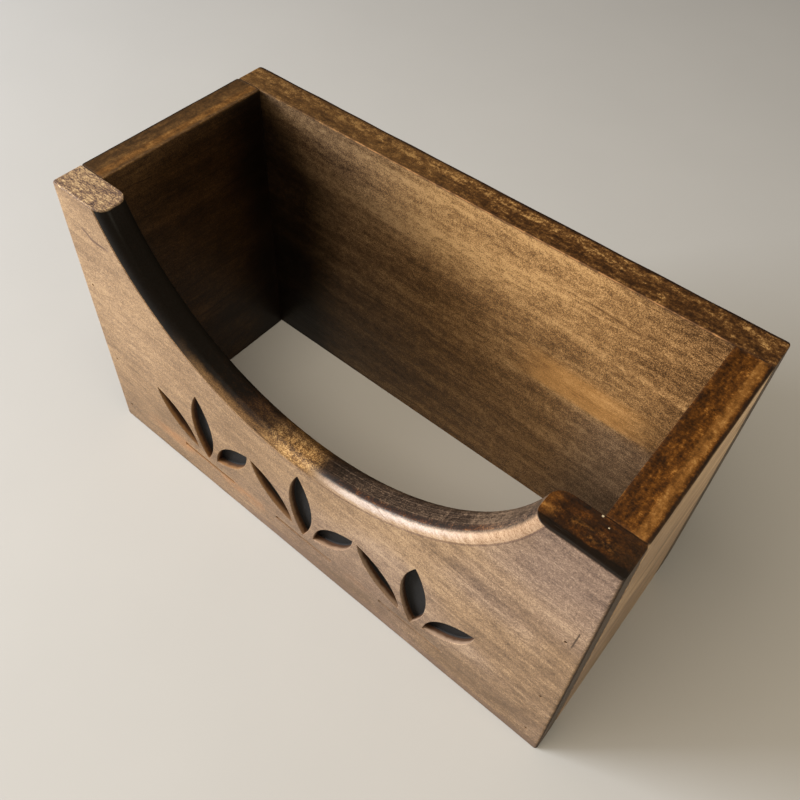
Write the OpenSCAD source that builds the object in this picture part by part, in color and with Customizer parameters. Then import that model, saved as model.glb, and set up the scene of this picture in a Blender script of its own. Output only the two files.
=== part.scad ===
// Open-bottomed box of four butt-jointed boards with a scooped, carved front board.
// The box stands on z = 0, centred on the origin. X runs along its length and -Y is its front.

/* [Box] */
// Outside length of the box
box_length = 342.9; // [300:0.1:400]
// Outside depth of the box from front to back
box_depth = 152.4; // [120:0.1:200]
// Height of the four boards
box_height = 203.2; // [190:0.1:230]
// Thickness of every board
board_thickness = 19.05; // [16:0.05:22]
// Radius of the sanded edges round the outside of the box
edge_radius = 1.2; // [0.8:0.1:3]
// Radius of the fine arris on every other edge of a board
arris_radius = 0.4; // [0.1:0.1:0.6]

/* [Scoop] */
// Width of the ear left standing at each end of the scoop
ear_width = 40.5; // [30:0.5:50]
// Depth of the scoop below the top of the boards
scoop_depth = 93.5; // [75:0.5:96]
// Radius of the rounded rims on both sides of the scoop
rim_radius = 6.35; // [3:0.05:7.5]
// Depth of the fine shoulder where a rounded rim meets a face of the board
rim_shoulder = 0.4; // [0.1:0.1:0.8]

/* [Carving] */
// Number of carved sprigs along the front
sprig_count = 3; // [1:1:3]
// Distance from one sprig to the next
sprig_pitch = 82; // [78:1:86]
// Height of the carving's ground line above the table
sprig_base = 25; // [20:1:28]
// Depth of the carved pockets
carving_depth = 5; // [2:0.5:8]
// Length of a sprig's upright petal
petal_length = 64; // [50:1:66]
// Widest part of a sprig's upright petal
petal_width = 17; // [10:1:18]
// Length of the two leaning petals
side_petal_length = 47; // [40:1:50]
// Widest part of the two leaning petals
side_petal_width = 15; // [9:1:16]
// Angle between the upright petal and a leaning one
side_petal_lean = 41; // [40:1:44]

/* [Brads] */
// Number of brads in each corner joint
brads_per_joint = 3; // [1:1:3]
// Diameter of the brad wire
brad_diameter = 1.2; // [1:0.1:1.6]
// Diameter of the brad head
brad_head_diameter = 1.8; // [1.7:0.1:2.4]
// Length of a brad from head to point
brad_length = 38; // [30:1:50]
// Distance that a brad head is set below the face of the board
brad_set = 1.2; // [0.5:0.1:2]

/* [Hidden] */
$fn = 96;

front_y = -box_depth / 2;
right_x = box_length / 2;
end_panel_depth = box_depth - 2 * board_thickness;
brad_x = right_x - board_thickness / 2;

// The scoop is a circular arc through both ear tips and its lowest point
scoop_half_width = box_length / 2 - ear_width;
scoop_radius = (scoop_half_width * scoop_half_width + scoop_depth * scoop_depth) / (2 * scoop_depth);
scoop_centre_z = box_height - scoop_depth + scoop_radius;
scoop_fn = 240;

// Brads stand at these shares of the height, and each has a head and a tapered point
brad_heights = [0.085, 0.32, 0.65] * box_height;
brad_head_height = 0.8;
brad_point_height = 1.6;

// The petals of a sprig fan out from one root just above its ground line
petal_root_gap = 5;
side_petal_root_gap = 13;
ground_line_width = 46;
ground_line_height = 2.6;

// Extra length that takes a cut clear through a face
past = 1;

// Rectangle with rounded corners, centred on the origin
module rounded_rectangle(width, height, radius) {
    union() {
        square([width - 2 * radius, height], center = true);
        square([width, height - 2 * radius], center = true);
        for (x = [-1, 1], y = [-1, 1])
            translate([x * (width / 2 - radius), y * (height / 2 - radius)]) circle(radius);
    }
}

// Block standing on z = 0, centred in X and Y, with all its edges rounded
module eased_block(length, depth, height, radius) {
    intersection() {
        linear_extrude(height) rounded_rectangle(length, depth, radius);
        translate([0, depth / 2, height / 2]) rotate([90, 0, 0])
            linear_extrude(depth) rounded_rectangle(length, height, radius);
        translate([-length / 2, 0, height / 2]) rotate([90, 0, 90])
            linear_extrude(length) rounded_rectangle(depth, height, radius);
    }
}

// Long board with its outer face on y = front_y
module long_board() {
    intersection() {
        translate([0, front_y + board_thickness / 2, 0])
            eased_block(box_length, board_thickness, box_height, arris_radius);
        eased_block(box_length, box_depth, box_height, edge_radius);
    }
}

// End board on the right, between the two long boards
module end_board() {
    intersection() {
        translate([right_x - board_thickness / 2, 0, 0])
            eased_block(board_thickness, end_panel_depth, box_height, arris_radius);
        eased_block(box_length, box_depth, box_height, edge_radius);
    }
}

// Outline of the scoop cutter: radius from the scoop's axis against depth into the board.
// The cutter flares in a quarter round at both faces, each behind a fine shoulder.
module scoop_profile() {
    rim_outer = scoop_radius + rim_radius;
    rim_depth = rim_radius + rim_shoulder;
    difference() {
        union() {
            translate([0, -past]) square([scoop_radius, board_thickness + 2 * past]);
            translate([0, -past]) square([rim_outer, past + rim_depth]);
            translate([0, board_thickness - rim_depth]) square([rim_outer, past + rim_depth]);
        }
        for (depth = [rim_depth, board_thickness - rim_depth])
            translate([rim_outer, depth]) circle(rim_radius);
    }
}

module scoop_cutter() {
    translate([0, front_y, scoop_centre_z]) rotate([-90, 0, 0])
        rotate_extrude($fn = scoop_fn) scoop_profile();
}

// Pointed petal, standing on the origin: the overlap of two circles
module petal(length, width) {
    arc_radius = (length * length + width * width) / (4 * width);
    translate([0, length / 2]) intersection() {
        translate([arc_radius - width / 2, 0]) circle(arc_radius, $fn = 180);
        translate([width / 2 - arc_radius, 0]) circle(arc_radius, $fn = 180);
    }
}

// One carved sprig: an upright petal between two leaning ones, over a ground line
module sprig() {
    line_end = (ground_line_width - ground_line_height) / 2;
    translate([0, petal_root_gap]) petal(petal_length, petal_width);
    for (side = [-1, 1])
        rotate(side * side_petal_lean) translate([0, side_petal_root_gap])
            petal(side_petal_length, side_petal_width);
    square([2 * line_end, ground_line_height], center = true);
    for (side = [-1, 1])
        translate([side * line_end, 0]) circle(d = ground_line_height, $fn = 32);
}

module carving_cutter() {
    for (i = [0 : sprig_count - 1])
        translate([(i - (sprig_count - 1) / 2) * sprig_pitch, front_y + carving_depth, sprig_base])
            rotate([90, 0, 0]) linear_extrude(carving_depth + past) sprig();
}

// Solids of revolution for the brads of one joint, driven in along +Y from the front face
module brads() {
    head_y = brad_set + brad_head_height;
    shank_end = brad_set + brad_length - brad_point_height;
    for (i = [0 : brads_per_joint - 1])
        translate([brad_x, front_y, brad_heights[i]]) rotate([-90, 0, 0]) union() {
            translate([0, 0, brad_set]) cylinder(h = brad_head_height, d = brad_head_diameter);
            translate([0, 0, head_y]) cylinder(h = shank_end - head_y, d = brad_diameter);
            translate([0, 0, shank_end])
                cylinder(h = brad_point_height, d1 = brad_diameter, d2 = brad_diameter / 3);
        }
}

// Holes that the brads leave in the boards, open to the front face
module brad_holes() {
    for (i = [0 : brads_per_joint - 1])
        translate([brad_x, front_y, brad_heights[i]]) rotate([-90, 0, 0]) {
            translate([0, 0, -past])
                cylinder(h = past + brad_set + brad_head_height, d = brad_head_diameter);
            cylinder(h = brad_set + brad_length, d = brad_diameter);
        }
}

module front_panel() {
    color([0.66, 0.53, 0.42]) difference() {
        long_board();
        scoop_cutter();
        carving_cutter();
        brad_holes();
        mirror([1, 0, 0]) brad_holes();
    }
}

module back_panel() {
    color([0.43, 0.31, 0.20]) mirror([0, 1, 0]) difference() {
        long_board();
        brad_holes();
        mirror([1, 0, 0]) brad_holes();
    }
}

module right_end_panel() {
    color([0.40, 0.26, 0.13]) difference() {
        end_board();
        brad_holes();
        mirror([0, 1, 0]) brad_holes();
    }
}

module left_end_panel() {
    mirror([1, 0, 0]) right_end_panel();
}

module front_right_brads() {
    color([0.55, 0.55, 0.56]) brads();
}

module front_left_brads() {
    mirror([1, 0, 0]) front_right_brads();
}

module back_right_brads() {
    mirror([0, 1, 0]) front_right_brads();
}

module back_left_brads() {
    mirror([1, 0, 0]) back_right_brads();
}

front_panel();
back_panel();
left_end_panel();
right_end_panel();
front_left_brads();
front_right_brads();
back_left_brads();
back_right_brads();
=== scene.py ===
"""Looks of the open-bottomed wooden box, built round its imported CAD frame."""
import math

import bmesh
import bpy
from mathutils import Matrix, Vector, noise


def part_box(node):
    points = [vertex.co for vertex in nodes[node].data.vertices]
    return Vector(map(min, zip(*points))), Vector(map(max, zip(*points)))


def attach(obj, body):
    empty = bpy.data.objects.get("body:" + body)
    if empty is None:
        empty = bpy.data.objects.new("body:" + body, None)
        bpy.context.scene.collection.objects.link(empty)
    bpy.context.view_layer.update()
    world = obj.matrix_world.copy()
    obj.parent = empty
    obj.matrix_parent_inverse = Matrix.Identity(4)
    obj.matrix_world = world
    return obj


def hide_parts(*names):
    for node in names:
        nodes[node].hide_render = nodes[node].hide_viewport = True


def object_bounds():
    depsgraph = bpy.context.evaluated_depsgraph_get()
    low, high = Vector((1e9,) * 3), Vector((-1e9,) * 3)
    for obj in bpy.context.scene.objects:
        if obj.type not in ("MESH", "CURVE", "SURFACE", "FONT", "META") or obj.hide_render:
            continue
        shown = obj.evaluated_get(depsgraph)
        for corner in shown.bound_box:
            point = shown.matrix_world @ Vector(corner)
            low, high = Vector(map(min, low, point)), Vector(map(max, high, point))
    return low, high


def plain_box(bounds):
    return [[float(c) for c in corner] for corner in bounds]


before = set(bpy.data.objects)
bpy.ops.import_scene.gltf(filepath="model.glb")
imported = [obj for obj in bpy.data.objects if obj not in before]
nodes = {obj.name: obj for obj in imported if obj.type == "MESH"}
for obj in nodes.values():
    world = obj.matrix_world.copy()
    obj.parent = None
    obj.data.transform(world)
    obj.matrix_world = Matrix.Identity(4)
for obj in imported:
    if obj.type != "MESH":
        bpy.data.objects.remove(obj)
cad_bounds = plain_box(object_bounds())

# Sizes in metres, read off the frame
LOW, HIGH = (Vector(corner) for corner in cad_bounds)
TOP = HIGH.z
FRONT = LOW.y
BACK = HIGH.y
RIGHT = HIGH.x
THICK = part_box("front_panel")[1][1] - FRONT

# The scoop is an arc through both ear tips and its lowest point, with a rounded rim on each face
EAR_WIDTH = 0.0405
SCOOP_DEPTH = 0.0935
RIM_RADIUS = 0.00635
RIM_SHOULDER = 0.0004
HALF_SPAN = RIGHT - EAR_WIDTH
SCOOP_RADIUS = (HALF_SPAN ** 2 + SCOOP_DEPTH ** 2) / (2 * SCOOP_DEPTH)
SCOOP_EDGE = SCOOP_RADIUS + RIM_RADIUS
SCOOP_Z = TOP - SCOOP_DEPTH + SCOOP_RADIUS

# Carved sprigs, as the CAD model has them
SPRIG_PITCH = 0.082
SPRIG_BASE = 0.025
CARVING_DEPTH = 0.005
PETAL = (0.064, 0.017)
PETAL_GAP = 0.005
SIDE_PETAL = (0.047, 0.015)
SIDE_GAP = 0.013
SIDE_LEAN = math.radians(41)
GROUND_LINE = (0.046, 0.0026)

# Brads, at three heights in each joint
BRAD_HEIGHTS = [share * TOP for share in (0.085, 0.32, 0.65)]
BRAD_X = RIGHT - THICK / 2
BRAD_HEAD = (0.0018, 0.0020)
BRAD_SHANK = (0.0012, 0.0392)


# ---------------------------------------------------------------- shader helper

class Shader:
    """Adds and links the nodes of one material."""

    def __init__(self, name):
        self.material = bpy.data.materials.new(name)
        self.material.use_nodes = True
        self.tree = self.material.node_tree
        self.surface = self.tree.nodes["Principled BSDF"]

    def node(self, kind, **settings):
        made = self.tree.nodes.new(kind)
        for key, value in settings.items():
            setattr(made, key, value)
        return made

    def feed(self, socket, value):
        """Links a socket to a socket, or sets a plain value on it."""
        if isinstance(value, bpy.types.NodeSocket):
            self.tree.links.new(value, socket)
        else:
            socket.default_value = value

    def position(self):
        return self.node("ShaderNodeTexCoord").outputs["Object"]

    def split(self, vector):
        made = self.node("ShaderNodeSeparateXYZ")
        self.feed(made.inputs[0], vector)
        return made.outputs

    def join(self, x, y, z):
        made = self.node("ShaderNodeCombineXYZ")
        for socket, value in zip(made.inputs, (x, y, z)):
            self.feed(socket, value)
        return made.outputs[0]

    def math(self, operation, *values):
        made = self.node("ShaderNodeMath", operation=operation)
        for socket, value in zip(made.inputs, values):
            self.feed(socket, value)
        return made.outputs[0]

    def add(self, *values):
        total = values[0]
        for value in values[1:]:
            total = self.math("ADD", total, value)
        return total

    def times(self, *values):
        total = values[0]
        for value in values[1:]:
            total = self.math("MULTIPLY", total, value)
        return total

    def offset(self, vector, step):
        made = self.node("ShaderNodeVectorMath", operation="ADD")
        self.feed(made.inputs[0], vector)
        self.feed(made.inputs[1], step)
        return made.outputs[0]

    def noise(self, vector, scale=1.0, detail=2.0, roughness=0.5):
        made = self.node("ShaderNodeTexNoise")
        for key, value in (("Vector", vector), ("Scale", scale), ("Detail", detail),
                           ("Roughness", roughness)):
            self.feed(made.inputs[key], value)
        return made.outputs["Fac"]

    def swing(self, value, amount):
        """A noise value taken about its middle and scaled."""
        return self.times(self.math("SUBTRACT", value, 0.5), amount)

    def remap(self, value, low, high, to_low=0.0, to_high=1.0):
        made = self.node("ShaderNodeMapRange", interpolation_type="SMOOTHSTEP")
        for key, number in (("Value", value), ("From Min", low), ("From Max", high),
                            ("To Min", to_low), ("To Max", to_high)):
            self.feed(made.inputs[key], number)
        return made.outputs[0]

    def band(self, value, low, high, soft_low, soft_high=None):
        """1 between low and high, with soft edges that reach out on either side."""
        if soft_high is None:
            soft_high = soft_low
        return self.times(self.remap(value, low - soft_low, low + soft_low),
                          self.remap(value, high - soft_high, high + soft_high, 1.0, 0.0))

    def mix(self, factor, a, b, blend="MIX"):
        made = self.node("ShaderNodeMix", data_type="RGBA", blend_type=blend)
        self.feed(made.inputs[0], factor)
        self.feed(made.inputs[6], a)
        self.feed(made.inputs[7], b)
        return made.outputs[2]

    def dim(self, tint, share):
        """The colour times a number from 0 to 1, or times a socket's value."""
        return self.mix(1.0, tint, self.join(share, share, share), "MULTIPLY")

    def ramp(self, value, *stops):
        """Colour ramp through (place, colour) stops."""
        made = self.node("ShaderNodeValToRGB")
        elements = made.color_ramp.elements
        while len(elements) < len(stops):
            elements.new(1.0)
        for element, (place, tint) in zip(elements, stops):
            element.position = place
            element.color = tint
        self.feed(made.inputs[0], value)
        return made.outputs[0]

    def bump(self, height, distance):
        made = self.node("ShaderNodeBump")
        self.feed(made.inputs["Height"], height)
        made.inputs["Distance"].default_value = distance
        return made.outputs["Normal"]


def colour(red, green, blue):
    """Linear colour from sRGB values of 0 to 255."""
    def linear(c):
        c = c / 255
        return c / 12.92 if c <= 0.04045 else ((c + 0.055) / 1.055) ** 2.4
    return (linear(red), linear(green), linear(blue), 1.0)


SATIN_ROUGHNESS = (0.38, 0.54)
SATIN_COAT = 0.04
GRAIN_RELIEF = 0.00006


class Wood(Shader):
    """Closed-grained wood under a dark stain and a satin finish. grain is the axis, 0 or 1, of its fibres."""

    def __init__(self, name, grain, seed, board):
        super().__init__(name)
        low, high = board
        self.x, self.y, self.z = self.split(self.position())
        spot = self.offset(self.position(), seed)
        sx, sy, sz = self.split(spot)
        along, across, through = (sx, sz, sy) if grain == 0 else (sy, sz, sx)
        self.along, self.across, self.through = along, across, through

        # Growth rings round a leaning pith, warped by slow noise
        warp = self.stretched(7.0, 24.0, 2.0)
        lean = self.add(across, self.times(along, 0.07), 0.13)
        depth = self.add(through, 0.09)
        reach = self.math("SQRT", self.add(self.times(lean, lean), self.times(depth, depth)))
        reach = self.add(reach, self.times(warp, 0.016))
        self.rings = self.noise(self.join(self.times(along, 1.6), self.times(reach, 210.0), 0.0),
                                1.0, 4.0, 0.55)
        self.fibre = self.stretched(24.0, 900.0, 3.0, 0.6)
        self.streak = self.stretched(9.0, 190.0, 3.0, 0.6)
        self.blotch = self.stretched(26.0, 46.0, 4.0, 0.55)
        self.cloud = self.stretched(9.0, 14.0, 2.0)
        self.mottle = self.stretched(170.0, 300.0, 2.0, 0.5)
        self.fleck = self.noise(spot, 620.0, 3.0, 0.7)
        self.grit = self.noise(spot, 1500.0, 3.0, 0.8)
        dash = self.stretched(190.0, 1700.0, 1.0)
        patch = self.remap(self.stretched(30.0, 60.0, 2.0), 0.38, 0.62)
        self.pores = self.times(self.remap(dash, 0.57, 0.72), patch)
        hair = self.noise(self.join(self.times(along, 14.0), self.times(reach, 1300.0), 3.0), 1.0, 1.0)
        self.hair = self.times(self.remap(hair, 0.64, 0.72),
                               self.remap(self.stretched(16.0, 70.0, 2.0), 0.45, 0.6))

        # Distance to the nearest edge: the middle one of the distances to the board's three pairs of faces
        gaps = []
        for place, near, far in zip((self.x, self.y, self.z), low, high):
            gaps.append(self.math("MINIMUM", self.math("SUBTRACT", place, near),
                                  self.math("SUBTRACT", far, place)))
        a, b, c = gaps
        self.edge = self.math("MAXIMUM", self.math("MINIMUM", a, b),
                              self.math("MINIMUM", self.math("MAXIMUM", a, b), c))
        self.on_top = self.remap(self.z, TOP - 0.0014, TOP - 0.0003)

    def stretched(self, a, c, detail, roughness=0.5):
        """Noise drawn out along the fibres: a and c are its scales along and across them."""
        drawn = self.join(self.times(self.along, a), self.times(self.across, c), self.times(self.through, c))
        return self.noise(drawn, 1.0, detail, roughness)

    def tone(self, rings=0.5, streak=0.3, blotch=0.8, fibre=0.5, grit=2.0, mottle=0.4, cloud=0.6, pores=0.3,
             hair=0.35):
        """Shade of the stained wood from 0, dark, to 1, light."""
        parts = [0.5]
        for value, amount in ((self.rings, rings), (self.streak, streak), (self.blotch, blotch),
                              (self.fibre, fibre), (self.grit, grit), (self.mottle, mottle),
                              (self.cloud, cloud)):
            if amount:
                parts.append(self.swing(value, amount))
        dark = self.add(self.times(self.pores, pores), self.times(self.hair, hair))
        return self.math("SUBTRACT", self.add(*parts), dark)

    def speckled(self, palette, *lifts, patch=1.3, speck=1.0):
        """Stained edge of a board: patches drawn out along the grain under coarse specks."""
        patches = self.stretched(120.0, 330.0, 2.0, 0.5)
        shade = self.add(0.46, self.swing(patches, patch), self.swing(self.fleck, speck),
                         self.swing(self.mottle, 0.5), self.swing(self.grit, 0.9), *lifts)
        return self.ramp(shade, *palette)

    def joint(self, base, place):
        """Dark, dull glue line where two boards meet. place is its mask."""
        self.glued = place
        uneven = self.remap(self.add(self.mottle, self.swing(self.fleck, 0.8)), 0.35, 0.6, 0.45, 0.9)
        return self.mix(self.times(place, uneven), base, NEARLY_BLACK)

    def finish(self, base, dull=0.0):
        """Ends the material. dull adds roughness; handled edges are rougher as well."""
        rough = self.add(self.times(self.fibre, 0.5), self.times(self.grit, 0.5))
        rough = self.remap(rough, 0.35, 0.65, *SATIN_ROUGHNESS)
        self.feed(self.surface.inputs["Base Color"], base)
        fade_mask = self.remap(self.edge, 0.0005, 0.0022, 0.3, 0.0)
        self.feed(self.surface.inputs["Roughness"],
                  self.add(rough, fade_mask, dull, self.times(self.glued, 0.4), self.times(self.on_top, 0.06)))
        height = self.add(self.times(self.fibre, 0.6), self.times(self.grit, 0.5),
                          self.times(self.pores, -0.8))
        self.feed(self.surface.inputs["Normal"], self.bump(height, GRAIN_RELIEF))
        self.surface.inputs["Specular IOR Level"].default_value = 0.16
        self.surface.inputs["Coat Weight"].default_value = SATIN_COAT
        self.surface.inputs["Coat Roughness"].default_value = 0.3
        return self.material


def box_of(node):
    low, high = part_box(node)
    return tuple(low), tuple(high)


FACE = ((0.0, colour(92, 72, 52)), (0.35, colour(126, 100, 74)), (0.65, colour(151, 123, 92)),
        (1.0, colour(187, 156, 119)))
RIM_HIGHLIGHT = ((0.0, colour(140, 110, 84)), (0.5, colour(190, 160, 130)), (1.0, colour(228, 204, 176)))
RIM_GLINT = ((0.0, colour(158, 136, 124)), (0.5, colour(206, 192, 184)), (1.0, colour(234, 226, 222)))
AMBER_STREAK = ((0.0, colour(118, 82, 44)), (0.5, colour(166, 122, 70)), (1.0, colour(206, 160, 104)))
MAUVE = ((0.0, colour(84, 68, 60)), (0.5, colour(130, 108, 94)), (1.0, colour(176, 154, 134)))
INSIDE = ((0.0, colour(66, 45, 24)), (0.35, colour(114, 83, 49)), (0.65, colour(150, 113, 70)),
          (1.0, colour(194, 154, 102)))
GREYED = ((0.0, colour(60, 45, 32)), (0.35, colour(100, 79, 61)), (0.65, colour(128, 105, 82)),
          (1.0, colour(162, 138, 110)))
END_GRAIN = ((0.0, colour(19, 11, 4)), (0.5, colour(40, 25, 10)), (1.0, colour(70, 47, 22)))
RIM_SHADE_TONES = ((0.0, colour(16, 8, 3)), (0.45, colour(40, 19, 6)), (0.75, colour(74, 38, 10)),
          (1.0, colour(118, 76, 34)))
SCOOPED = ((0.0, colour(12, 7, 3)), (0.5, colour(48, 31, 17)), (1.0, colour(104, 74, 42)))
CHARCOAL = ((0.0, colour(22, 16, 12)), (0.5, colour(56, 44, 36)), (1.0, colour(120, 100, 82)))
GOLDEN = ((0.0, colour(82, 50, 25)), (0.4, colour(142, 101, 56)), (0.7, colour(186, 143, 88)),
          (1.0, colour(222, 184, 126)))
CHOCOLATE = ((0.0, colour(34, 20, 9)), (0.4, colour(70, 44, 20)), (0.7, colour(112, 77, 40)),
             (1.0, colour(200, 158, 100)))
UMBER = ((0.0, colour(24, 12, 3)), (0.4, colour(54, 29, 7)), (0.7, colour(92, 53, 15)),
         (1.0, colour(172, 112, 44)))
AMBER = ((0.0, colour(42, 22, 5)), (0.4, colour(84, 49, 13)), (0.7, colour(122, 76, 27)),
         (1.0, colour(184, 130, 64)))
STRIPE = ((0.0, colour(96, 60, 22)), (0.5, colour(148, 100, 46)), (1.0, colour(206, 158, 94)))
OLIVE = ((0.0, colour(52, 37, 20)), (0.4, colour(84, 60, 34)), (0.7, colour(114, 84, 48)),
         (1.0, colour(160, 124, 76)))
WORN = ((0.0, colour(74, 60, 58)), (0.35, colour(122, 100, 90)), (0.6, colour(176, 146, 112)),
        (1.0, colour(240, 212, 168)))
BLACKENED = colour(16, 12, 10)
NEARLY_BLACK = colour(18, 10, 4)

# The tops take more light than the faces, so their palettes are dimmed to this share
TOP_SHARE = 0.65


def front_wood():
    w = Wood("front_wood", 0, (0.0, 0.0, 0.0), box_of("front_panel"))
    # Painted shade darkens the face towards its foot, in place of the shading of a rounded bottom edge; low
    # darkens the middle further near the bottom
    foot = w.add(w.remap(w.z, 0.0, 0.007, -0.18, 0.0), w.remap(w.z, 0.01, 0.09, -0.20, 0.0))
    middle = w.band(w.x, -0.05, 0.09, 0.04)
    low = w.times(middle, w.remap(w.z, 0.02, 0.08, -0.10, 0.0))
    lively = w.remap(w.x, 0.02, 0.10)
    shadow = w.times(w.remap(w.x, 0.11, 0.135), w.remap(w.z, 0.155, 0.175, -0.05, -0.15))
    rise = w.times(w.band(w.x, 0.03, 0.12, 0.03), w.remap(w.z, 0.04, 0.08, 0.0, 0.10))
    calm = w.times(w.remap(w.x, 0.105, 0.125), w.remap(w.z, 0.135, 0.16))
    lively = w.math("SUBTRACT", lively, w.times(calm, 0.85))
    figure = w.times(w.add(w.swing(w.rings, 0.3), w.swing(w.blotch, 0.7), w.swing(w.mottle, 0.2)), lively)
    tone = w.add(w.tone(rings=0.4, fibre=0.4, grit=2.5, mottle=0.4, blotch=0.6), foot, low, shadow, rise,
                 w.swing(w.fleck, 0.4), figure)
    base = w.ramp(tone, *FACE)
    greyer = w.add(w.times(w.remap(w.cloud, 0.42, 0.62, 0.1, 0.6), w.remap(w.x, -0.12, 0.06, 0.1, 1.0)),
                   w.times(calm, 0.25))
    base = w.mix(greyer, base, w.ramp(tone, *MAUVE))
    arris = w.times(w.remap(w.edge, 0.0004, 0.0014, 0.4, 0.0), w.remap(w.x, -0.10, -0.05, 1.0, 0.0))
    base = w.mix(arris, base, colour(116, 88, 62))

    # The rounded bottom edge's light and shade are painted: a duller strip along the foot under a thin dark
    # line; and orange stain round the ground lines
    strip = w.add(w.z, w.swing(w.blotch, 0.003), w.times(w.x, 0.01))
    foot_shade_side = w.remap(w.x, -0.10, -0.03)
    base = w.mix(w.times(w.remap(strip, 0.0075, 0.0095, 0.35, 0.0), foot_shade_side), base, colour(112, 90, 78))
    base = w.mix(w.times(w.band(strip, 0.0088, 0.0092, 0.0006), foot_shade_side, 0.3), base, colour(84, 62, 44))
    stain = w.times(w.band(w.z, 0.017, 0.028, 0.004), w.band(w.x, -0.13, 0.04, 0.02),
                    w.remap(w.blotch, 0.48, 0.62))
    base = w.mix(w.times(stain, 0.4), base, colour(168, 112, 62))
    inside = w.ramp(w.tone(blotch=1.6), *INSIDE)
    base = w.mix(w.remap(w.y, FRONT + THICK * 0.5, FRONT + THICK * 0.6), base, inside)

    # Dark end grain at both ends
    side = w.math("ABSOLUTE", w.x)
    ends = w.remap(side, RIGHT - 0.0012, RIGHT - 0.0003)
    base = w.mix(ends, base, w.ramp(w.tone(mottle=1.2), *END_GRAIN))

    # Scooped surface with its light and shade painted in: painted shade makes the left black-brown, a painted
    # pool of light makes the bottom golden, and the right is charcoal with a painted highlight on its rim
    drop = w.math("SUBTRACT", w.z, SCOOP_Z)
    reach = w.math("SQRT", w.add(w.times(w.x, w.x), w.times(drop, drop)))
    below_top = w.remap(w.z, TOP - 0.0012, TOP - 0.0002, 1.0, 0.0)
    in_scoop = w.times(w.remap(reach, SCOOP_EDGE - 0.0006, SCOOP_EDGE - 0.0001, 1.0, 0.0), below_top)
    # Painted shade blackens the left of the scoop
    left_scoop_shade = w.remap(w.x, -0.076, -0.026, -0.75, 0.0)
    cut = w.ramp(w.add(w.tone(grit=1.8, mottle=0.8), left_scoop_shade), *SCOOPED)
    right_half = w.remap(w.x, 0.004, 0.03)
    sanded = w.noise(w.join(w.times(w.x, 6.0), w.times(w.y, 1300.0), 0.0), 1.0, 2.0, 0.6)
    charcoal = w.add(w.tone(grit=2.4, mottle=0.5, fibre=0.0, pores=0.0, hair=0.0), w.swing(sanded, 0.5),
                     w.swing(w.fleck, 0.9), w.remap(w.x, 0.02, 0.125, -0.10, 0.14))
    cut = w.mix(right_half, cut, w.ramp(charcoal, *CHARCOAL))
    # A dark band of painted shade behind the rim's highlight, fading towards the ear
    groove = w.times(w.band(w.y, FRONT + 0.0034, FRONT + 0.0060, 0.0004, 0.0010), right_half)
    rim_shade = w.ramp(w.add(w.tone(grit=2.6, mottle=1.2, pores=0.0, hair=0.0), w.swing(w.fleck, 1.0),
                        w.remap(w.y, FRONT + 0.0030, FRONT + 0.0048, 0.22, -0.14)), *RIM_SHADE_TONES)
    fade_mask = w.times(w.remap(w.blotch, 0.35, 0.6, 0.7, 0.95), w.remap(w.x, 0.104, 0.122, 1.0, 0.35))
    cut = w.mix(w.times(groove, fade_mask), cut, rim_shade)
    # Thin painted highlights along the ridges of the rim
    for ridge, strength in ((FRONT + 0.0068, 0.35), (FRONT + 0.0095, 0.2), (FRONT + THICK - 0.0068, 0.3)):
        line = w.band(w.add(w.y, w.swing(w.blotch, 0.0008)), ridge - 0.0001, ridge + 0.0001, 0.0002)
        cut = w.mix(w.times(line, right_half, w.remap(w.fleck, 0.4, 0.6, 0.3, 1.0), strength), cut,
                    colour(176, 150, 126))
    rounded = w.add(w.y, w.swing(w.mottle, 0.003))
    crisp = w.add(w.y, w.swing(w.mottle, 0.0012))
    # Painted highlight along the lit front of the rim, fading towards the ear
    lit = w.times(w.remap(crisp, FRONT + 0.0018, FRONT + 0.0034, 0.92, 0.0), w.remap(w.x, -0.006, 0.03))
    rim_highlight_tone = w.add(w.tone(grit=1.4, blotch=0.5), w.remap(w.x, 0.09, 0.13, 0.0, -0.3))
    cut = w.mix(lit, cut, w.ramp(rim_highlight_tone, *RIM_HIGHLIGHT))
    # A paler, cooler painted glint in the middle of that highlight
    rim_glint = w.times(w.band(crisp, FRONT + 0.0009, FRONT + 0.0024, 0.0005),
                     w.band(w.x, 0.024, 0.098, 0.012, 0.024))
    cut = w.mix(w.times(rim_glint, 0.8), cut, w.ramp(w.tone(grit=1.2, blotch=0.4), *RIM_GLINT))
    # On the left the painted shade eases to brown along the front of the rim
    browner = w.times(w.remap(rounded, FRONT + 0.0008, FRONT + 0.0042, 0.7, 0.0),
                      w.band(w.x, -0.075, 0.008, 0.02, 0.01))
    cut = w.mix(browner, cut, w.ramp(w.add(w.tone(), -0.05), *INSIDE))
    # A painted pool of golden light at the bottom of the scoop, brightest towards the front
    lit_pool = w.times(w.band(w.add(w.x, w.swing(w.blotch, 0.016)), -0.018, 0.010, 0.013, 0.006),
                     w.remap(w.add(w.mottle, w.swing(w.fleck, 1.6), w.swing(w.grit, 1.2)), 0.2, 0.8,
                             0.35, 0.95),
                     w.remap(w.add(w.y, w.swing(w.blotch, 0.008)), FRONT + 0.007, FRONT + 0.015, 1.0, 0.3))
    gold = w.add(w.tone(grit=3.4, mottle=0.9), w.swing(w.fleck, 0.8), 0.10)
    cut = w.mix(lit_pool, cut, w.ramp(gold, *GOLDEN))
    # The scoop's colours are dimmed most at its bottom, which takes the most light
    base = w.mix(in_scoop, base, w.dim(cut, w.remap(side, 0.02, 0.12, 0.70, 0.88)))
    shoulder = w.times(w.band(reach, SCOOP_EDGE - 0.0003, SCOOP_EDGE + 0.0004, 0.0003), below_top)
    base = w.mix(w.times(shoulder, w.remap(w.x, -0.01, 0.04, 0.12, 0.6)), base, colour(62, 40, 32))

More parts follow.
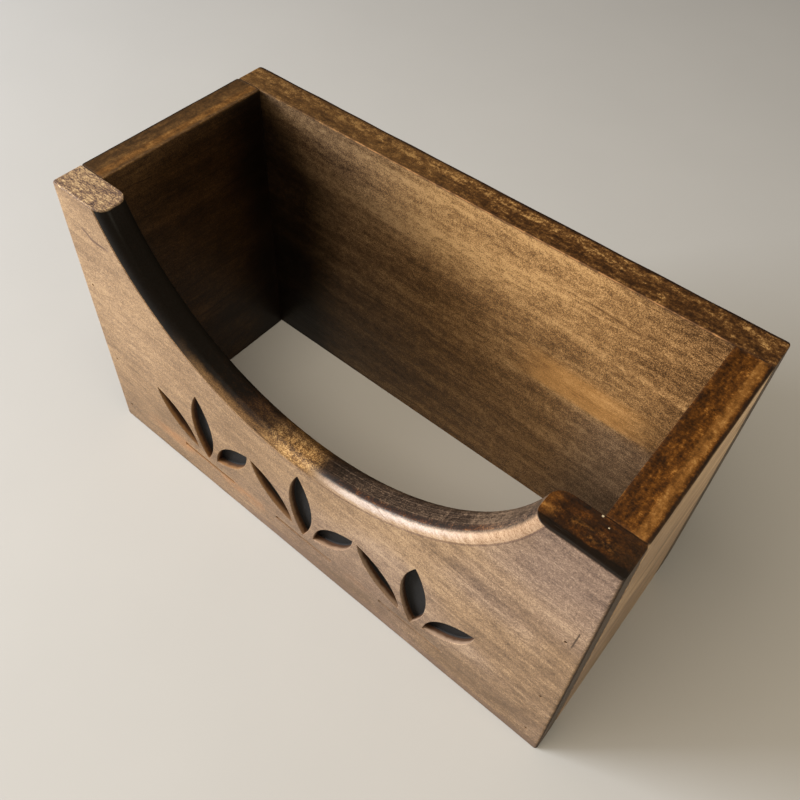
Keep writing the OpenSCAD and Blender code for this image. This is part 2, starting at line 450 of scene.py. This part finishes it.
    # Top of the right ear: umber with a black band behind its front edge, warm at the tip and dull at the end
    ear = w.speckled(UMBER, -0.10)
    tip = w.times(w.remap(w.add(w.x, w.swing(w.blotch, 0.008)), 0.1325, 0.1385, 1.0, 0.0),
                  w.remap(w.x, 0.0, 0.01))
    ear = w.mix(w.times(tip, 0.8), ear, w.speckled(AMBER, 0.08))
    ear = w.mix(w.remap(w.x, 0.158, 0.167, 0.0, 0.5), ear, w.ramp(w.tone(mottle=1.2), *END_GRAIN))
    gilt = w.times(w.remap(w.add(w.stretched(120.0, 240.0, 2.0), w.swing(w.fleck, 0.7)), 0.46, 0.70),
                   w.band(w.x, 0.130, 0.162, 0.004), w.band(w.y, FRONT + 0.0060, FRONT + 0.0115, 0.0018))
    ear = w.mix(w.times(gilt, 0.65), ear, w.speckled(STRIPE, -0.15))

    # Two pale dots of dust near the inner corner of that top, and its black band
    for x, y, radius in ((0.1518, FRONT + THICK - 0.0008, 0.0006), (0.1562, FRONT + THICK - 0.0038, 0.0004)):
        away = w.math("SQRT", w.add(w.math("POWER", w.math("SUBTRACT", w.x, x), 2.0),
                                    w.math("POWER", w.math("SUBTRACT", w.y, y), 2.0)))
        ear = w.mix(w.remap(away, radius * 0.6, radius, 0.85, 0.0), ear, colour(226, 210, 176))
    ragged = w.add(w.y, w.swing(w.mottle, 0.0022))
    ear = w.mix(w.remap(ragged, FRONT + 0.0036, FRONT + 0.0047, 0.92, 0.0), ear, NEARLY_BLACK)

    # Top of the left ear: worn to a streaky cream and grey
    thread = w.stretched(260.0, 1300.0, 2.0, 0.6)
    pale = w.ramp(w.add(w.tone(mottle=0.9, grit=2.2, fibre=0.4, blotch=0.4), w.swing(thread, 1.2),
                        w.swing(w.fleck, 1.0)), *WORN)
    top = w.mix(w.remap(w.x, -0.05, 0.05), pale, ear)
    base = w.mix(w.on_top, base, w.dim(top, TOP_SHARE))

    # Carved pockets and brad holes: charcoal floors
    sunk = w.times(w.band(w.y, FRONT + 0.0005, FRONT + 0.0075, 0.0003), w.band(w.z, 0.01, 0.1, 0.001),
                   w.remap(side, 0.13, 0.131, 1.0, 0.0))
    floor = w.remap(w.y, FRONT + 0.0035, FRONT + 0.0048)
    charred = w.mix(w.remap(w.grit, 0.35, 0.65), colour(15, 15, 16), colour(36, 36, 37))
    # Painted highlight: the pocket walls are paler near the face, and paler and greyer towards the right;
    # deeper in they are darker
    lit_lip = w.mix(w.remap(w.x, -0.06, 0.06), colour(124, 90, 58), colour(136, 114, 96))
    walls = w.mix(w.remap(w.add(w.y, w.swing(w.mottle, 0.002)), FRONT + 0.0008, FRONT + 0.0032),
                  lit_lip, colour(64, 42, 26))
    base = w.mix(sunk, base, w.mix(floor, walls, charred))
    near_brad = w.remap(w.math("ABSOLUTE", w.math("SUBTRACT", side, BRAD_X)), 0.0014, 0.0016, 1.0, 0.0)
    holes = w.times(w.band(w.y, FRONT + 0.0004, FRONT + 0.004, 0.0002), w.band(w.z, 0.01, 0.15, 0.001),
                    near_brad)
    base = w.mix(holes, base, BLACKENED)

    # Scratch beside the upper right brad, and a dark line under the left ear
    on_face = w.remap(w.y, FRONT + 0.0001, FRONT + 0.0003, 1.0, 0.0)
    lean = w.math("ABSOLUTE", w.add(w.x, w.times(w.z, -0.05), -0.1584))
    scratch = w.times(on_face, w.remap(lean, 0.00015, 0.0006, 0.85, 0.0), w.band(w.z, 0.131, 0.147, 0.001))
    base = w.mix(scratch, base, colour(52, 36, 26))
    course = w.add(w.z, w.remap(w.x, -0.154, -0.145, -0.0045, 0.0), w.swing(w.blotch, 0.002), -0.1763)
    line = w.times(on_face, w.remap(w.math("ABSOLUTE", course), 0.0004, 0.0017, 0.9, 0.0),
                   w.band(w.x, -0.154, -0.134, 0.002, 0.004))
    base = w.mix(line, base, colour(92, 68, 56))
    base = w.joint(base, w.times(w.remap(w.y, FRONT + THICK - 0.0006, FRONT + THICK - 0.0002),
                                 w.remap(side, RIGHT - THICK - 0.0002, RIGHT - THICK + 0.0004)))
    polish = w.times(in_scoop, w.add(w.times(lit, -0.18), w.times(groove, 0.3),
                                     w.remap(w.x, -0.03, 0.0, 0.45, 0.0)))
    return w.finish(base, w.add(w.times(sunk, 0.3), polish))


def back_wood():
    w = Wood("back_wood", 0, (1.3, 0.4, 0.2), box_of("back_panel"))
    shade = w.remap(w.x, 0.10, 0.16, 0.0, -0.22)
    # A painted pool of light brightens the upper middle of the inner face
    painted_light = w.times(w.band(w.add(w.x, w.swing(w.blotch, 0.03)), -0.06, 0.095, 0.03),
                   w.remap(w.z, 0.13, 0.175, 0.0, 0.2))
    bands = w.swing(w.stretched(5.0, 70.0, 2.0), 0.9)
    dim = w.times(w.remap(w.add(w.blotch, w.swing(w.cloud, 0.4)), 0.5, 0.66), -0.22)
    # Painted shade darkens the lower left of the inner face
    depth = w.times(w.remap(w.x, -0.02, 0.06, 1.0, 0.0), w.remap(w.z, 0.06, 0.13, -0.12, 0.0))
    tone = w.add(w.tone(grit=3.0, blotch=0.8, streak=0.4, rings=0.5, mottle=0.8), shade, painted_light, dim, bands,
                 depth, 0.03)
    inside = w.ramp(tone, *INSIDE)
    greyer = w.add(w.times(w.remap(w.x, 0.07, 0.12), w.remap(w.z, 0.095, 0.112, 0.7, 0.0)),
                   w.remap(w.x, -0.10, 0.0, 0.6, 0.1))
    inside = w.mix(greyer, inside, w.ramp(tone, *GREYED))

    # Painted shadow: the left corner is nearly black, less so towards the top, up to the slanting edge of the
    # shadow the left end casts
    shadow_edge = w.add(w.x, w.times(w.math("MAXIMUM", w.add(w.z, -0.15), 0.0), 0.9), w.swing(w.blotch, 0.02))
    inside = w.mix(w.remap(shadow_edge, -0.124, -0.078, 0.93, 0.0), inside, w.ramp(w.add(tone, -0.5), *SCOOPED))
    # Painted shade darkens the inner face towards the bottom and the left
    inside = w.dim(inside, w.times(w.remap(w.z, 0.03, 0.16, 0.66, 0.93),
                                   w.remap(w.x, -0.12, 0.09, 0.47, 1.0)))
    inner = w.remap(w.y, BACK - THICK * 0.5, BACK - THICK * 0.4, 1.0, 0.0)
    base = w.mix(inner, w.ramp(w.tone(), *FACE), inside)

    # A streak of amber and a thin dark line along the inner face
    height = w.add(w.z, w.times(w.streak, 0.004), w.swing(w.cloud, 0.006))
    amber_band = w.times(w.band(height, 0.107, 0.129, 0.0016, 0.005),
                    w.band(w.add(w.x, w.times(w.blotch, 0.03)), 0.070, 0.140, 0.016, 0.025), inner)
    base = w.mix(w.times(amber_band, 0.85), base, w.ramp(w.tone(grit=1.4, blotch=1.2), *AMBER_STREAK))
    course = w.math("ABSOLUTE", w.add(w.z, w.times(w.x, 0.06), w.swing(w.blotch, 0.004), -0.186))
    line = w.times(inner, w.remap(course, 0.0002, 0.0009, 0.55, 0.0), w.band(w.x, 0.082, 0.112, 0.006))
    base = w.mix(line, base, colour(78, 52, 28))
    side = w.math("ABSOLUTE", w.x)
    ends = w.remap(side, RIGHT - 0.0012, RIGHT - 0.0003)
    base = w.mix(ends, base, w.ramp(w.tone(mottle=1.2), *END_GRAIN))

    # Top: chocolate, greener to the left, dark along its outer edge and pale along its inner edge
    paler = w.times(w.band(w.y, 0.0665, 0.0730, 0.0015), w.remap(w.cloud, 0.4, 0.55), 0.2)
    top = w.speckled(CHOCOLATE, paler, w.remap(w.x, 0.02, -0.14, 0.0, 0.08), speck=1.5)
    top = w.mix(w.remap(w.x, 0.04, -0.10, 0.0, 0.7), top, w.ramp(w.tone(mottle=1.0), *OLIVE))
    rim = w.add(w.y, w.swing(w.mottle, 0.001))
    top = w.mix(w.remap(rim, BACK - 0.0026, BACK - 0.0014, 0.0, 0.85), top, colour(24, 15, 8))
    base = w.mix(w.on_top, base, w.dim(top, TOP_SHARE))
    # A painted highlight along the inner top arris
    between = w.remap(side, RIGHT - THICK - 0.004, RIGHT - THICK - 0.001, 1.0, 0.0)
    arris = w.times(w.band(w.y, BACK - THICK - 0.0002, BACK - THICK + 0.0004, 0.0002), between,
                    w.remap(w.z, TOP - 0.0008, TOP - 0.0004), w.remap(w.mottle, 0.4, 0.6, 0.3, 1.0),
                    w.remap(w.x, -0.12, -0.06))
    base = w.mix(w.times(arris, 0.6), base, colour(164, 120, 78))
    base = w.joint(base, w.times(w.remap(w.y, BACK - THICK + 0.0002, BACK - THICK + 0.0006, 1.0, 0.0),
                                 w.remap(side, RIGHT - THICK - 0.0002, RIGHT - THICK + 0.0004),
                                 w.remap(w.x, 0.0, 0.1, 1.0, 0.5)))
    return w.finish(base)


def end_wood(name, node, seed, sign):
    w = Wood(name, 1, seed, box_of(node))
    out = w.times(w.x, sign)
    inside = w.ramp(w.add(w.tone(), -0.2), *INSIDE)
    if sign < 0:
        # Painted shade: the inner face of the left end is darkened all over and nearly black towards the back
        inside = w.mix(w.remap(w.y, -0.04, 0.05, 0.5, 0.85), inside, w.ramp(w.tone(), *SCOOPED))
        inside = w.dim(w.mix(w.remap(w.y, 0.020, 0.05, 0.0, 0.8), inside, NEARLY_BLACK), 0.5)
    # The outer face darkens towards the bottom as painted shade
    tone = w.add(w.tone(streak=1.6, hair=0.7, rings=0.9), w.remap(w.z, 0.02, 0.17, -0.46, 0.05))
    dark_lines = w.remap(w.stretched(5.0, 330.0, 2.0), 0.56, 0.66, 0.0, 0.4)
    outside = w.mix(0.15, w.ramp(tone, *FACE), w.ramp(tone, *MAUVE))
    outside = w.mix(dark_lines, outside, colour(84, 64, 46))
    base = w.mix(w.remap(out, RIGHT - THICK * 0.5, RIGHT - THICK * 0.4), inside, outside)

    # Top: amber on the right end and olive on the left end, each with a paler stripe and a dark outer edge
    wander = w.add(out, w.swing(w.blotch, 0.003))
    if sign > 0:
        top = w.speckled(AMBER, w.remap(out, 0.153, 0.163, -0.20, 0.02), patch=1.5, speck=1.5)
        stripe = w.band(wander, 0.1646, 0.1686, 0.0012)
    else:
        top = w.speckled(OLIVE, w.remap(out, 0.161, 0.166, 0.0, -0.16), patch=0.9)
        stripe = w.times(w.band(wander, 0.1550, 0.1596, 0.0014), 0.5)
    top = w.mix(w.times(stripe, w.remap(w.mottle, 0.35, 0.55, 0.45, 0.9)), top, w.speckled(STRIPE, patch=0.8))
    rim = w.add(out, w.swing(w.mottle, 0.001))
    top = w.mix(w.remap(rim, RIGHT - 0.0022, RIGHT - 0.0010, 0.0, 0.85), top, colour(24, 15, 8))
    base = w.mix(w.on_top, base, w.dim(top, TOP_SHARE))
    base = w.joint(base, w.add(w.remap(w.y, FRONT + THICK + 0.0001, FRONT + THICK + 0.0004, 1.0, 0.0),
                               w.times(w.remap(w.y, BACK - THICK - 0.0004, BACK - THICK - 0.0001),
                                       0.4 if sign > 0 else 1.0)))
    return w.finish(base)


# ---------------------------------------------------------------- boards

def round_inset(radius, gap):
    """How far a rounded edge has fallen back at a distance from the end of the board."""
    if gap >= radius:
        return 0.0
    return radius - math.sqrt(radius * radius - (radius - gap) ** 2)


def make_object(name, verts, faces):
    mesh = bpy.data.meshes.new(name)
    mesh.from_pydata(verts, [], faces)
    shape = bmesh.new()
    shape.from_mesh(mesh)
    bmesh.ops.recalc_face_normals(shape, faces=shape.faces)
    shape.to_mesh(mesh)
    shape.free()
    made = bpy.data.objects.new(name, mesh)
    bpy.context.scene.collection.objects.link(made)
    return made


END_STEPS = (0.0, 0.00004, 0.00012, 0.00025, 0.00045, 0.0007, 0.001, 0.0014, 0.0018, 0.0023, 0.0028, 0.0034)
CORNER_STEPS = 6
STATION_GAP = 0.006


def sweep_board(name, axis, edges, ends):
    """A board swept along axis 0 or 1, with sanded edges.

    edges holds the radii of its four long edges: low side low, high side low, high side top, low side top.
    ends holds for each end the radii where it meets the low side, high side, bottom and top."""
    low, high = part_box(name)
    side = 1 - axis
    length = high[axis] - low[axis]
    inner = int(length / STATION_GAP)
    first, last = END_STEPS[-1], length - END_STEPS[-1]
    places = list(END_STEPS)
    places += [first + (last - first) * (i + 1) / inner for i in range(inner - 1)]
    places += [length - step for step in reversed(END_STEPS)]
    corners = ((-1, -1), (1, -1), (1, 1), (-1, 1))
    verts = []
    for place in places:
        insets = [round_inset(near, place) + round_inset(far, length - place)
                  for near, far in zip(ends[0], ends[1])]
        reach = {-1: (low[side] + insets[0], low[2] + insets[2]),
                 1: (high[side] - insets[1], high[2] - insets[3])}
        for number, (across, up) in enumerate(corners):
            # Hand sanding leaves each edge a little uneven along its length
            wobble = noise.noise(Vector((place * 45.0, number * 9.0 + axis * 40.0, low[side] * 300.0)))
            radius = edges[number] * (1.0 + 0.45 * wobble)
            middle_side = reach[across][0] - across * radius
            middle_up = reach[up][1] - up * radius
            start = math.atan2(up, across) - math.pi / 4
            for step in range(CORNER_STEPS + 1):
                angle = start + math.pi / 2 * step / CORNER_STEPS
                point = [0.0, 0.0, middle_up + radius * math.sin(angle)]
                point[axis] = low[axis] + place
                point[side] = middle_side + radius * math.cos(angle)
                verts.append(point)
    ring = len(corners) * (CORNER_STEPS + 1)
    faces = []
    for station in range(len(places) - 1):
        for i in range(ring):
            j = (i + 1) % ring
            a, b = station * ring, (station + 1) * ring
            faces.append((a + i, a + j, b + j, b + i))
    faces.append(tuple(range(ring)))
    faces.append(tuple(range((len(places) - 1) * ring, len(places) * ring)))
    return make_object(name.replace("panel", "board"), verts, faces)


def loft(rings):
    """Vertices and faces of a solid lofted through closed rings of equal length, and capped."""
    count = len(rings[0])
    verts = [point for ring in rings for point in ring]
    faces = []
    for k in range(len(rings) - 1):
        for i in range(count):
            j = (i + 1) % count
            faces.append((k * count + i, k * count + j, (k + 1) * count + j, (k + 1) * count + i))
    faces.append(tuple(range(count)))
    faces.append(tuple(range((len(rings) - 1) * count, len(rings) * count)))
    return verts, faces


def join_solids(solids):
    verts, faces = [], []
    for more_verts, more_faces in solids:
        start = len(verts)
        verts += more_verts
        faces += [tuple(start + i for i in face) for face in more_faces]
    return verts, faces


def scoop_ring():
    """Solid of revolution that cuts the scoop, with the two rounded rims and their fine shoulders."""
    profile = []
    arc = 10
    turns = 360
    groove = 0.00012
    past = 0.002
    hub = 0.03
    for k in range(arc + 1):
        angle = math.pi / 2 * k / arc
        profile.append((SCOOP_EDGE - RIM_RADIUS * math.sin(angle),
                        RIM_SHOULDER + RIM_RADIUS - RIM_RADIUS * math.cos(angle)))
    half = [(SCOOP_EDGE + 0.0022, -past), (SCOOP_EDGE, 0.0002)] + profile
    flat = RIM_SHOULDER + RIM_RADIUS
    half += [(SCOOP_RADIUS + groove, flat + 0.00015), (SCOOP_RADIUS, flat + 0.0004)]
    outer = half + [(radius, THICK - depth) for radius, depth in reversed(half)]
    outline = outer + [(hub, THICK + past), (hub, -past)]
    verts = []
    for k in range(turns):
        angle = 2 * math.pi * (k + 0.5) / turns
        for radius, depth in outline:
            verts.append((radius * math.sin(angle), FRONT + depth, SCOOP_Z + radius * math.cos(angle)))
    count = len(outline)
    faces = []
    for k in range(turns):
        a, b = k * count, (k + 1) % turns * count
        for i in range(count):
            j = (i + 1) % count
            faces.append((a + i, a + j, b + j, b + i))
    return verts, faces


def petal_outline(size, grow):
    """Pointed outline between two arcs, standing on the origin and grown outwards by grow."""
    length, width = size
    radius = (length ** 2 + width ** 2) / (4 * width)
    centre = radius - width / 2
    tip = math.sqrt((radius + grow) ** 2 - centre ** 2)
    swing = math.asin(tip / (radius + grow))
    steps = 40
    points = []
    for sign in (1, -1):
        for k in range(steps):
            angle = swing * (2 * k / steps - 1) * sign
            points.append((sign * ((radius + grow) * math.cos(angle) - centre),
                           length / 2 + (radius + grow) * math.sin(angle)))
    return points


def line_outline(size, grow):
    """Round-ended bar centred on the origin and grown outwards by grow."""
    half = (size[0] - size[1]) / 2
    radius = size[1] / 2 + grow
    points = []
    steps = 12
    for sign in (1, -1):
        for k in range(steps + 1):
            angle = math.pi * (k / steps - 0.5)
            points.append((sign * (half + radius * math.cos(angle)), sign * radius * math.sin(angle)))
    return points


POCKET_ARRIS = 0.00035
POCKET_FILLET = 0.0007


def pocket(outline, size, turn, lift, centre):
    """Cutter of one carved pocket: eased at the face, upright walls, and a filleted floor."""
    levels = [(POCKET_ARRIS + 0.001, -0.001), (0.0, POCKET_ARRIS), (0.0, CARVING_DEPTH - POCKET_FILLET)]
    for k in range(1, 5):
        angle = math.pi / 2 * k / 4
        levels.append((-POCKET_FILLET * (1 - math.cos(angle)),
                       CARVING_DEPTH - POCKET_FILLET + POCKET_FILLET * math.sin(angle)))
    rings = []
    for grow, depth in levels:
        ring = []
        for u, v in outline(size, grow):
            v = v + lift
            ring.append((centre + u * math.cos(turn) - v * math.sin(turn), FRONT + depth,
                         SPRIG_BASE + u * math.sin(turn) + v * math.cos(turn)))
        rings.append(ring)
    return loft(rings)


HOLE_SIDES = 20


def hole(x, z, face, inward, levels):
    """Round hole along Y, from a face of the board inwards. levels holds (radius, depth) pairs."""
    rings = []
    for radius, depth in levels:
        rings.append([(x + radius * math.cos(math.tau * k / HOLE_SIDES), face + inward * depth,
                       z + radius * math.sin(math.tau * k / HOLE_SIDES)) for k in range(HOLE_SIDES)])
    return loft(rings)


def brad_holes(face, inward):
    head, head_depth = BRAD_HEAD[0] / 2, BRAD_HEAD[1]
    shank = BRAD_SHANK[0] / 2
    levels = ((head + 0.0003, -0.001), (head, 0.0001), (head, head_depth), (shank, head_depth),
              (shank, THICK + 0.001))
    return [hole(sign * BRAD_X, z, face, inward, levels) for sign in (-1, 1) for z in BRAD_HEIGHTS]


def shank_holes(x):
    """Holes that the brads leave in both ends of an end board."""
    deep = BRAD_SHANK[1] - THICK
    shank = BRAD_SHANK[0] / 2
    solids = []
    for z in BRAD_HEIGHTS:
        solids.append(hole(x, z, FRONT + THICK, 1, ((shank, -0.001), (shank, deep))))
        solids.append(hole(x, z, BACK - THICK, -1, ((shank, -0.001), (shank, deep))))
    return solids


def cut(board, solids):
    """Takes the solids away from the board for good."""
    cutter = make_object("cutter", *join_solids(solids))
    modifier = board.modifiers.new("cut", "BOOLEAN")
    modifier.operation = "DIFFERENCE"
    modifier.solver = "EXACT"
    modifier.object = cutter
    bake_modifiers(board)
    bpy.data.objects.remove(cutter)


def bake_modifiers(made):
    bpy.context.view_layer.update()
    ready = made.evaluated_get(bpy.context.evaluated_depsgraph_get())
    mesh = bpy.data.meshes.new_from_object(ready)
    made.modifiers.clear()
    made.data = mesh


EAR_TIP_EASE = 0.0006


def ease_ear_tips(board):
    """Rounds the sharp edges where the scoop runs out through the tops of the ears."""
    shape = bmesh.new()
    shape.from_mesh(board.data)
    bmesh.ops.remove_doubles(shape, verts=shape.verts, dist=0.000002)
    sharp = [edge for edge in shape.edges
             if len(edge.link_faces) == 2 and min(v.co.z for v in edge.verts) > TOP - EAR_TIP_EASE
             and max(abs(v.co.x) for v in edge.verts) < HALF_SPAN + 0.012
             and edge.calc_face_angle() > math.radians(40)]
    bmesh.ops.bevel(shape, geom=sharp, offset=EAR_TIP_EASE, segments=3, profile=0.5, affect="EDGES",
                    clamp_overlap=True)
    shape.to_mesh(board.data)
    shape.free()


def dress(board, node, material):
    """Shades a finished board and puts it in the place of its CAD node."""
    for polygon in board.data.polygons:
        polygon.use_smooth = True
    shading = board.modifiers.new("flat faces", "WEIGHTED_NORMAL")
    shading.weight = 100
    shading.keep_sharp = False
    board.data.materials.clear()
    board.data.materials.append(material)
    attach(board, "root")
    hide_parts(node)


# Radii of the boards' edges: the box's outer and inner edges, and two kinds of joint
OUTER, INNER, JOINT, CLOSE = 0.0012, 0.0005, 0.0016, 0.0002
front_ends = ((0.0028, 0.0022, OUTER, 0.0016), (0.0018, JOINT, OUTER, OUTER))
front = sweep_board("front_panel", 0, (OUTER, INNER, INNER, OUTER), front_ends)
pockets = []
for i in (-1, 0, 1):
    centre = i * SPRIG_PITCH
    pockets.append(pocket(petal_outline, PETAL, 0.0, PETAL_GAP, centre))
    pockets.append(pocket(petal_outline, SIDE_PETAL, SIDE_LEAN, SIDE_GAP, centre))
    pockets.append(pocket(petal_outline, SIDE_PETAL, -SIDE_LEAN, SIDE_GAP, centre))
    pockets.append(pocket(line_outline, GROUND_LINE, 0.0, 0.0, centre))
cut(front, [scoop_ring()])
ease_ear_tips(front)
cut(front, pockets + brad_holes(FRONT, 1))
dress(front, "front_panel", front_wood())

back_ends = ((0.0024, 0.0034, OUTER, 0.0020), (JOINT, 0.0018, OUTER, OUTER))
back = sweep_board("back_panel", 0, (INNER, OUTER, OUTER, INNER), back_ends)
cut(back, brad_holes(BACK, -1))
dress(back, "back_panel", back_wood())

for name, sign, seed in (("right_end", 1, (0.7, 2.1, 0.6)), ("left_end", -1, (2.9, 0.3, 1.7))):
    node = name + "_panel"
    edges = (INNER, OUTER, OUTER, INNER) if sign > 0 else (OUTER, INNER, INNER, OUTER)
    front_end = (INNER, JOINT, INNER, INNER) if sign > 0 else (JOINT, INNER, INNER, INNER)
    back_end = (INNER, JOINT, INNER, CLOSE) if sign > 0 else front_end
    board = sweep_board(node, 1, edges, (front_end, back_end))
    cut(board, shank_holes(sign * BRAD_X))
    dress(board, node, end_wood(name + "_wood", node, seed, sign))


def give(node, material):
    slots = nodes[node].data.materials
    slots.clear()
    slots.append(material)


def brad_steel():
    """Blackened steel wire."""
    s = Shader("brad_steel")
    tone = s.noise(s.position(), 2600.0, 3.0, 0.6)
    s.feed(s.surface.inputs["Base Color"], s.mix(tone, colour(30, 26, 24), colour(84, 78, 74)))
    s.feed(s.surface.inputs["Roughness"], s.remap(tone, 0.3, 0.7, 0.4, 0.65))
    s.feed(s.surface.inputs["Normal"], s.bump(tone, 0.00002))
    s.surface.inputs["Metallic"].default_value = 1.0
    return s.material


steel = brad_steel()
for node in nodes:
    if node.endswith("brads"):
        give(node, steel)


# ---------------------------------------------------------------- stage, light, camera

def grid_plane(name, size, material):
    mesh = bpy.data.meshes.new(name)
    shape = bmesh.new()
    bmesh.ops.create_grid(shape, x_segments=8, y_segments=8, size=size / 2)
    shape.to_mesh(mesh)
    shape.free()
    made = bpy.data.objects.new(name, mesh)
    bpy.context.scene.collection.objects.link(made)
    mesh.materials.append(material)
    return made


def pale_floor():
    s = Shader("pale_floor")
    s.feed(s.surface.inputs["Base Color"],
           s.mix(s.noise(s.position(), 9.0, 3.0), (0.40, 0.405, 0.41, 1), (0.425, 0.43, 0.435, 1)))
    s.surface.inputs["Roughness"].default_value = 0.8
    s.surface.inputs["Specular IOR Level"].default_value = 0.15
    return s.material


grid_plane("floor", 6.0, pale_floor())


def area_light(name, place, target, width, height, power, tint):
    data = bpy.data.lights.new(name, "AREA")
    data.shape = "RECTANGLE"
    data.size = width
    data.size_y = height
    data.energy = power
    data.color = tint
    lamp = bpy.data.objects.new(name, data)
    lamp.location = place
    lamp.rotation_euler = (Vector(target) - Vector(place)).to_track_quat("-Z", "Y").to_euler()
    bpy.context.scene.collection.objects.link(lamp)
    return lamp


area_light("key", (-1.75, -1.20, 0.70), (0, 0, 0.08), 0.90, 0.65, 85.0, (0.97, 0.985, 1.0))
area_light("sky", (-1.10, -0.95, 1.15), (0, 0, 0.05), 1.0, 1.0, 9.0, (0.98, 0.98, 1.0))
area_light("ceiling", (0.05, -0.55, 1.50), (0, 0, 0.05), 1.1, 1.1, 22.0, (1.0, 0.86, 0.66))
area_light("side", (2.4, 0.05, 0.17), (0, 0, 0.13), 1.2, 0.3, 37.0, (1.0, 0.95, 0.75))
world = bpy.data.worlds.new("room")
world.use_nodes = True
world.node_tree.nodes["Background"].inputs["Color"].default_value = (0.60, 0.45, 0.28, 1)
world.node_tree.nodes["Background"].inputs["Strength"].default_value = 0.15
bpy.context.scene.world = world
bpy.context.scene.view_settings.view_transform = "Standard"

# The camera looks down on the front right corner. Its frame is cropped off centre, hence the small shift.
CAMERA_PLACE = (0.1885, -0.2414, 0.4897)
CAMERA_FORWARD = Vector((-0.4082, 0.5194, -0.7507))
CAMERA_RIGHT = Vector((0.7653, 0.6430, 0.0288))
SENSOR = 36.0
LENS = 38.43
SHIFT = (0.0139, -0.0766)
forward = CAMERA_FORWARD.normalized()
right = (CAMERA_RIGHT - CAMERA_RIGHT.dot(forward) * forward).normalized()
up = right.cross(forward)
camera = bpy.data.objects.new("camera", bpy.data.cameras.new("camera"))
camera.matrix_world = Matrix.Translation(CAMERA_PLACE) @ Matrix(
    ((right.x, up.x, -forward.x), (right.y, up.y, -forward.y), (right.z, up.z, -forward.z))).to_4x4()
camera.data.sensor_width = SENSOR
camera.data.lens = LENS
camera.data.shift_x, camera.data.shift_y = SHIFT
camera.data.clip_start = 0.01
bpy.context.scene.collection.objects.link(camera)
bpy.context.scene.camera = camera
